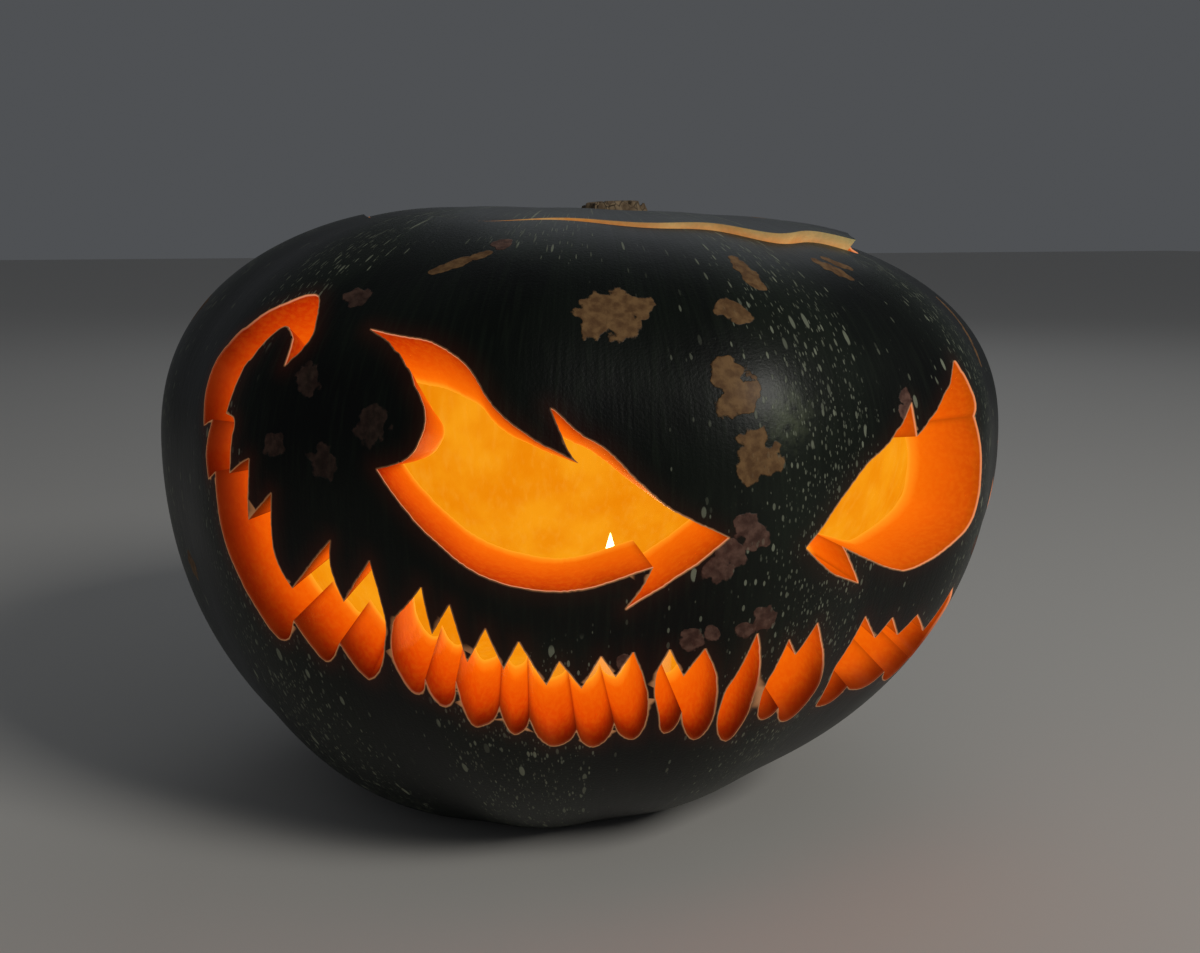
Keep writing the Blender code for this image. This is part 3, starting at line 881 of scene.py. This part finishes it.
def make_lid_flesh(name):
    """The lid's cut: pale cream flesh with a thin glow through it."""
    material, shader, wash = new_material(
        name, Emission_Strength=1.0, Coat_Weight=0.1, Specular_IOR_Level=0.3)
    place = wash.place()
    depth = wash.stored("depth")
    cloud = wash.clouds(place, 130.0, 4.0)
    grain = wash.clouds(place, 900.0, 3.0)
    inwards = (depth + (cloud - 0.5) * 0.5).between(0.0, 0.9)
    cream = inwards.mixed(srgb(200, 198, 152), srgb(210, 200, 130))
    feed(shader, "Base Color", (grain.between(0.4, 0.7) * 0.3).mixed(cream, srgb(240, 226, 178)))
    # Painted glow: amber patches in the light through the lid's cut
    glow_patches = wash.clouds(place, 60.0, 5.0)
    glow = (depth * 0.7 + (cloud - 0.5) * 1.1 + 0.2).between(0.10, 0.85)
    pale = glow.mixed(srgb(70, 74, 38), srgb(146, 148, 92))
    feed(shader, "Emission Color", (glow_patches.between(0.50, 0.64) * 0.8).mixed(pale, srgb(100, 84, 32)))
    feed(shader, "Roughness", grain * 0.3 + 0.45)
    feed(shader, "Normal", wash.relief(grain, 0.5, 0.0003))
    return material


LID_BLOTCHES = ((30, 164, 3.0), (110, 164, 4.0), (-160, 165, 3.5))
LID_SCUFFS = ((70, 164, 3.0), (-70, 164, 4.0))
lid.data.materials[RIND] = make_rind("speckled_lid_rind", LID_BLOTCHES, LID_SCUFFS, glow=False)
lid.data.materials[CUT] = make_lid_flesh("cream_lid_flesh")
lid.data.materials[SCOOPED] = bpy.data.materials["lit_scooped_flesh"]
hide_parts("pumpkin_lid")
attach(lid, "root")

# The stem was snapped off short. A dry corky stub is left, ridged at the side and cracked on top.
STEM_SIDES = 72
STEM_RADIUS = 0.0098
STEM_HEIGHT = 0.0050
STEM_FOOT = 0.006
STEM_RINGS = 5
STEM_RING = 0.0016
STEM_LOBES = 0.09
STEM_RIDGES = 0.035
STEM_WAIST = 0.92
STEM_FLARE = 0.20
STEM_ROUGHNESS = 0.05
CRACK_DEPTH = 0.0016
CRACKS_PER_METRE = 220.0
STEM_ROUNDING = 0.0006


def upright_cylinder(name, sides, radius, depth, location):
    """A capped cylinder, its origin left at the world's."""
    bpy.ops.object.select_all(action="DESELECT")
    bpy.ops.mesh.primitive_cylinder_add(vertices=sides, radius=radius, depth=depth, location=location)
    thing = bpy.context.object
    thing.name = name
    bpy.ops.object.transform_apply(location=True)
    return thing


def top_edited(thing):
    """Enters edit mode with only the top faces selected."""
    bpy.ops.object.mode_set(mode="EDIT")
    shape = bmesh.from_edit_mesh(thing.data)
    for face in shape.faces:
        face.select = face.normal.z > 0.9
    bmesh.update_edit_mesh(thing.data)


crown = grown(0.0, 90.0)
stem_middle = (crown.x, crown.y, crown.z + (STEM_HEIGHT - STEM_FOOT) / 2.0)
stem = upright_cylinder("stem_stub", STEM_SIDES, STEM_RADIUS, STEM_HEIGHT + STEM_FOOT, stem_middle)
top_edited(stem)
for _ in range(STEM_RINGS):
    bpy.ops.mesh.inset(thickness=STEM_RING, depth=0.0)
bpy.ops.mesh.select_all(action="SELECT")
bpy.ops.mesh.subdivide(number_cuts=2)
bpy.ops.object.mode_set(mode="OBJECT")
for vertex in stem.data.vertices:
    away = Vector((vertex.co.x - crown.x, vertex.co.y - crown.y))
    turn = math.atan2(away.y, away.x)
    rise = (vertex.co.z - crown.z) / STEM_HEIGHT
    ridge = 1.0 + STEM_LOBES * math.cos(3.0 * turn + 0.7) + STEM_RIDGES * math.cos(11.0 * turn)
    flare = STEM_WAIST + STEM_FLARE * max(0.0, 1.0 - rise) ** 2
    rough = 1.0 + STEM_ROUGHNESS * noise.noise(vertex.co * 500.0)
    vertex.co.x = crown.x + away.x * ridge * flare * rough
    vertex.co.y = crown.y + away.y * ridge * flare * rough
    if rise > 0.98:
        split = abs(noise.noise(Vector((away.x * CRACKS_PER_METRE, away.y * CRACKS_PER_METRE, 4.0))))
        sunk = CRACK_DEPTH * max(0.0, 1.0 - split * 4.0)
        vertex.co.z -= sunk + STEM_ROUNDING * (away.length / STEM_RADIUS) ** 4
stem.data.transform(crooked)
bpy.ops.object.shade_smooth_by_angle(angle=math.radians(50.0))

cork_material, cork_shader, cork = new_material("dry_cork")
cork_place = cork.place()
cork_clouds = cork.clouds(cork_place, 330.0, 4.0)
cork_grid = {"Vector": cork_place, "Scale": 420.0}
cork_cracks = cork.node("TexVoronoi", {"feature": "DISTANCE_TO_EDGE"}, cork_grid)
cork_dark = (cork_cracks + cork_clouds * 0.25).between(0.20, 0.08)
cork_tan = cork_clouds.between(0.3, 0.7).mixed(srgb(150, 128, 98), srgb(98, 78, 56))
feed(cork_shader, "Base Color", (cork_dark * 0.85).mixed(cork_tan, srgb(38, 30, 22)))
feed(cork_shader, "Roughness", cork_clouds * 0.2 + 0.72)
feed(cork_shader, "Normal", cork.relief(cork_clouds * 0.6 - cork_dark, 0.8, 0.0005))
stem.data.materials.append(cork_material)
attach(stem, "root")

# The candle: a short poured wax candle, set on the scraped floor. Its top has melted to a shallow pool.
CANDLE_SIDES = 96
CANDLE_RIM = 0.0016
CANDLE_EDGE = 0.0007
POOL_DEPTH = 0.0018
POOL_RINGS = (
    (CANDLE_RIM, 0.0), (0.0022, -POOL_DEPTH * 0.8), (0.0050, -POOL_DEPTH * 0.2),
    (0.0050, 0.0), (0.0030, 0.0002),
)
MELT_SAG = 0.0005
WAX_DIM = (0.05, 0.018, 0.003)
WAX_LIT = (1.0, 0.55, 0.16)

low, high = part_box("candle")
candle_middle = (low + high) / 2.0
candle_radius = (high.x - low.x) / 2.0
wax = upright_cylinder("candle_wax", CANDLE_SIDES, candle_radius, high.z - low.z, candle_middle)
top_edited(wax)
for thickness, depth in POOL_RINGS:
    bpy.ops.mesh.inset(thickness=thickness, depth=depth)
bpy.ops.mesh.select_all(action="DESELECT")
shape = bmesh.from_edit_mesh(wax.data)
for edge in shape.edges:
    reach = [(v.co - candle_middle).xy.length for v in edge.verts]
    rise = abs(edge.verts[0].co.z - edge.verts[1].co.z)
    edge.select = min(reach) > candle_radius - CANDLE_RIM * 1.2 and rise < 0.0001
bmesh.update_edit_mesh(wax.data)
bpy.ops.mesh.bevel(offset=CANDLE_EDGE, segments=3)
bpy.ops.object.mode_set(mode="OBJECT")
for vertex in wax.data.vertices:
    away = (vertex.co - candle_middle).xy.length
    if vertex.co.z > high.z - 0.0008 and away > candle_radius * 0.75:
        vertex.co.z -= MELT_SAG * (0.5 + 0.5 * noise.noise(vertex.co * 90.0))
bpy.ops.object.shade_smooth_by_angle(angle=math.radians(40.0))

wax_material, wax_shader, tallow = new_material(
    "candle_wax", Coat_Weight=0.4, Coat_Roughness=0.12, Emission_Strength=1.0)
wax_place = tallow.place()
wax_clouds = tallow.clouds(wax_place, 120.0, 3.0)
wick_away = tallow.away(wax_place, Vector((candle_middle.x, candle_middle.y, high.z)))
wax_tone = wax_clouds.between(0.3, 0.7).mixed(srgb(238, 228, 205), srgb(246, 238, 220))
feed(wax_shader, "Base Color", wax_tone)
feed(wax_shader, "Roughness", wax_clouds * 0.2 + 0.28)
feed(wax_shader, "Emission Color", wick_away.between(0.024, 0.002).mixed(WAX_DIM, WAX_LIT))
feed(wax_shader, "Normal", tallow.relief(wax_clouds, 0.3, 0.0004))
wax.data.materials.append(wax_material)
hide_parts("candle")
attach(wax, "root")

# The wick is braided cotton, charred, with a slight lean and a red ember at its tip.
WICK_SIDES = 16
WICK_RINGS = 16
WICK_SHARE = 0.75
BRAID_DEPTH = 0.12
TIP_TAPER = 0.35
TIP_LEAN = 0.0002
EMBER_LENGTH = 0.0022
EMBER_RED = (1.0, 0.16, 0.02)

low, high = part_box("candle_wick")
wick_middle = (low + high) / 2.0
wick_radius = (high.x - low.x) / 2.0
wick = upright_cylinder(
    "charred_wick", WICK_SIDES, wick_radius * WICK_SHARE, high.z - low.z, wick_middle)
bpy.ops.object.mode_set(mode="EDIT")
for step in range(1, WICK_RINGS):
    level = low.z + (high.z - low.z) * step / WICK_RINGS
    bpy.ops.mesh.select_all(action="SELECT")
    bpy.ops.mesh.bisect(plane_co=(0.0, 0.0, level), plane_no=(0.0, 0.0, 1.0))
bpy.ops.object.mode_set(mode="OBJECT")
for vertex in wick.data.vertices:
    share = (vertex.co.z - low.z) / (high.z - low.z)
    turn = math.atan2(vertex.co.y - wick_middle.y, vertex.co.x - wick_middle.x)
    braid = 1.0 + BRAID_DEPTH * math.cos(3.0 * turn + 40.0 * share) - TIP_TAPER * share ** 6
    vertex.co.x = wick_middle.x + (vertex.co.x - wick_middle.x) * braid + TIP_LEAN * share ** 3
    vertex.co.y = wick_middle.y + (vertex.co.y - wick_middle.y) * braid
bpy.ops.object.shade_smooth_by_angle(angle=math.radians(60.0))

wick_material, wick_shader, char = new_material("charred_wick", Emission_Strength=1.0, Roughness=0.95)
wick_place = char.place()
wick_level = char.level(wick_place)
wick_soot = char.clouds(wick_place, 1400.0, 2.0)
feed(wick_shader, "Base Color", (wick_soot * 0.5).mixed(srgb(22, 18, 16), srgb(74, 60, 48)))
ember = wick_level.between(high.z - EMBER_LENGTH, high.z)
feed(wick_shader, "Emission Color", ember.mixed(BLACK, EMBER_RED))
wick.data.materials.append(wick_material)
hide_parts("candle_wick")
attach(wick, "root")

# The flame stands still on the wick: a narrow drop, white in its body, amber at the tip, blue at the foot.
FLAME_FOOT = 0.0050
FLAME_HEIGHT = 0.0258
FLAME_RADIUS = 0.0044
FLAME_BELLY = 0.62
FLAME_FULLNESS = 0.85
FLAME_TAPER = 0.35
FLAME_STOPS = (
    (0.0, (0.05, 0.10, 0.5)), (0.16, (0.45, 0.20, 0.08)), (0.35, (1.0, 0.72, 0.34)),
    (0.75, (1.0, 0.80, 0.42)), (1.0, (1.0, 0.50, 0.12)),
)


def flame_width(share):
    """The flame's width at a share of its height, from 0 at both ends."""
    if not 0.0 < share < 1.0:
        return 0.0
    return math.sin(math.pi * share ** FLAME_BELLY) ** FLAME_FULLNESS * (1.0 - FLAME_TAPER * share)


foot = high.z - FLAME_FOOT
bpy.ops.object.select_all(action="DESELECT")
bpy.ops.mesh.primitive_uv_sphere_add(segments=40, ring_count=36, radius=1.0)
flame = bpy.context.object
flame.name = "candle_flame"
for vertex in flame.data.vertices:
    share = 0.5 + 0.5 * vertex.co.z
    ring = vertex.co.xy
    if ring.length > 0.000001:
        ring = ring.normalized() * (FLAME_RADIUS * flame_width(share))
    else:
        ring = Vector((0.0, 0.0))
    vertex.co = Vector((wick_middle.x + ring.x, wick_middle.y + ring.y, foot + FLAME_HEIGHT * share))
bpy.ops.object.shade_smooth()

flame_material, flame_shader, fire = new_material("flame", Emission_Strength=9.0, Roughness=1.0)
fire_share = (fire.level(fire.place()) - foot) / FLAME_HEIGHT
fire_colour = fire.node("ValToRGB", {"stops": FLAME_STOPS}, {0: fire_share})
feed(flame_shader, "Base Color", fire_colour)
feed(flame_shader, "Emission Color", fire_colour)
flame.data.materials.append(flame_material)
flame.visible_shadow = False
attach(flame, "root")

# The floor is plain and pale. One soft lamp answers the gloss between the eyes, a wide dim one stands
# behind, and a small lamp in the flame's place lights the inside.
FLOOR_SIZE = 14.0
FLAME_PLACE = Vector((0.0075, -0.0028, 0.058))

bpy.ops.object.select_all(action="DESELECT")
bpy.ops.mesh.primitive_plane_add(size=FLOOR_SIZE, location=(0.0, 0.0, 0.0))
floor = bpy.context.object
floor.name = "floor"
floor_material, floor_shader, _ = new_material("pale_floor", Roughness=0.75)
floor_shader.inputs["Base Color"].default_value = paint(srgb(214, 211, 206))
floor.data.materials.append(floor_material)


def soft_lamp(name, azimuth, elevation, distance, size, power, colour):
    """A square soft box that looks at the lantern's middle."""
    turn, rise = math.radians(azimuth), math.radians(elevation)
    middle = Vector((0.0, 0.0, EQUATOR))
    back = Vector((math.sin(turn) * math.cos(rise), -math.cos(turn) * math.cos(rise), math.sin(rise)))
    bpy.ops.object.light_add(type="AREA", location=middle + distance * back)
    lamp = bpy.context.object
    lamp.name = name
    lamp.rotation_euler = back.to_track_quat("Z", "Y").to_euler()
    lamp.data.size = size
    lamp.data.energy = power
    lamp.data.color = colour


soft_lamp("key_lamp", 25.0, 33.0, distance=1.3, size=0.36, power=6.0, colour=(1.0, 0.98, 0.93))
soft_lamp("back_lamp", 150.0, 40.0, distance=1.6, size=1.0, power=1.2, colour=(0.88, 0.94, 1.0))
bpy.ops.object.light_add(type="POINT", location=FLAME_PLACE)
candle_light = bpy.context.object
candle_light.name = "candle_light"
candle_light.data.energy = 0.05
candle_light.data.color = (1.0, 0.60, 0.16)
candle_light.data.shadow_soft_size = 0.006

world = bpy.data.worlds.new("studio")
world.use_nodes = True
studio_light = world.node_tree.nodes["Background"]
studio_light.inputs["Color"].default_value = (0.78, 0.82, 0.88, 1.0)
studio_light.inputs["Strength"].default_value = 0.10
bpy.context.scene.world = world
bpy.context.scene.view_settings.view_transform = "Standard"
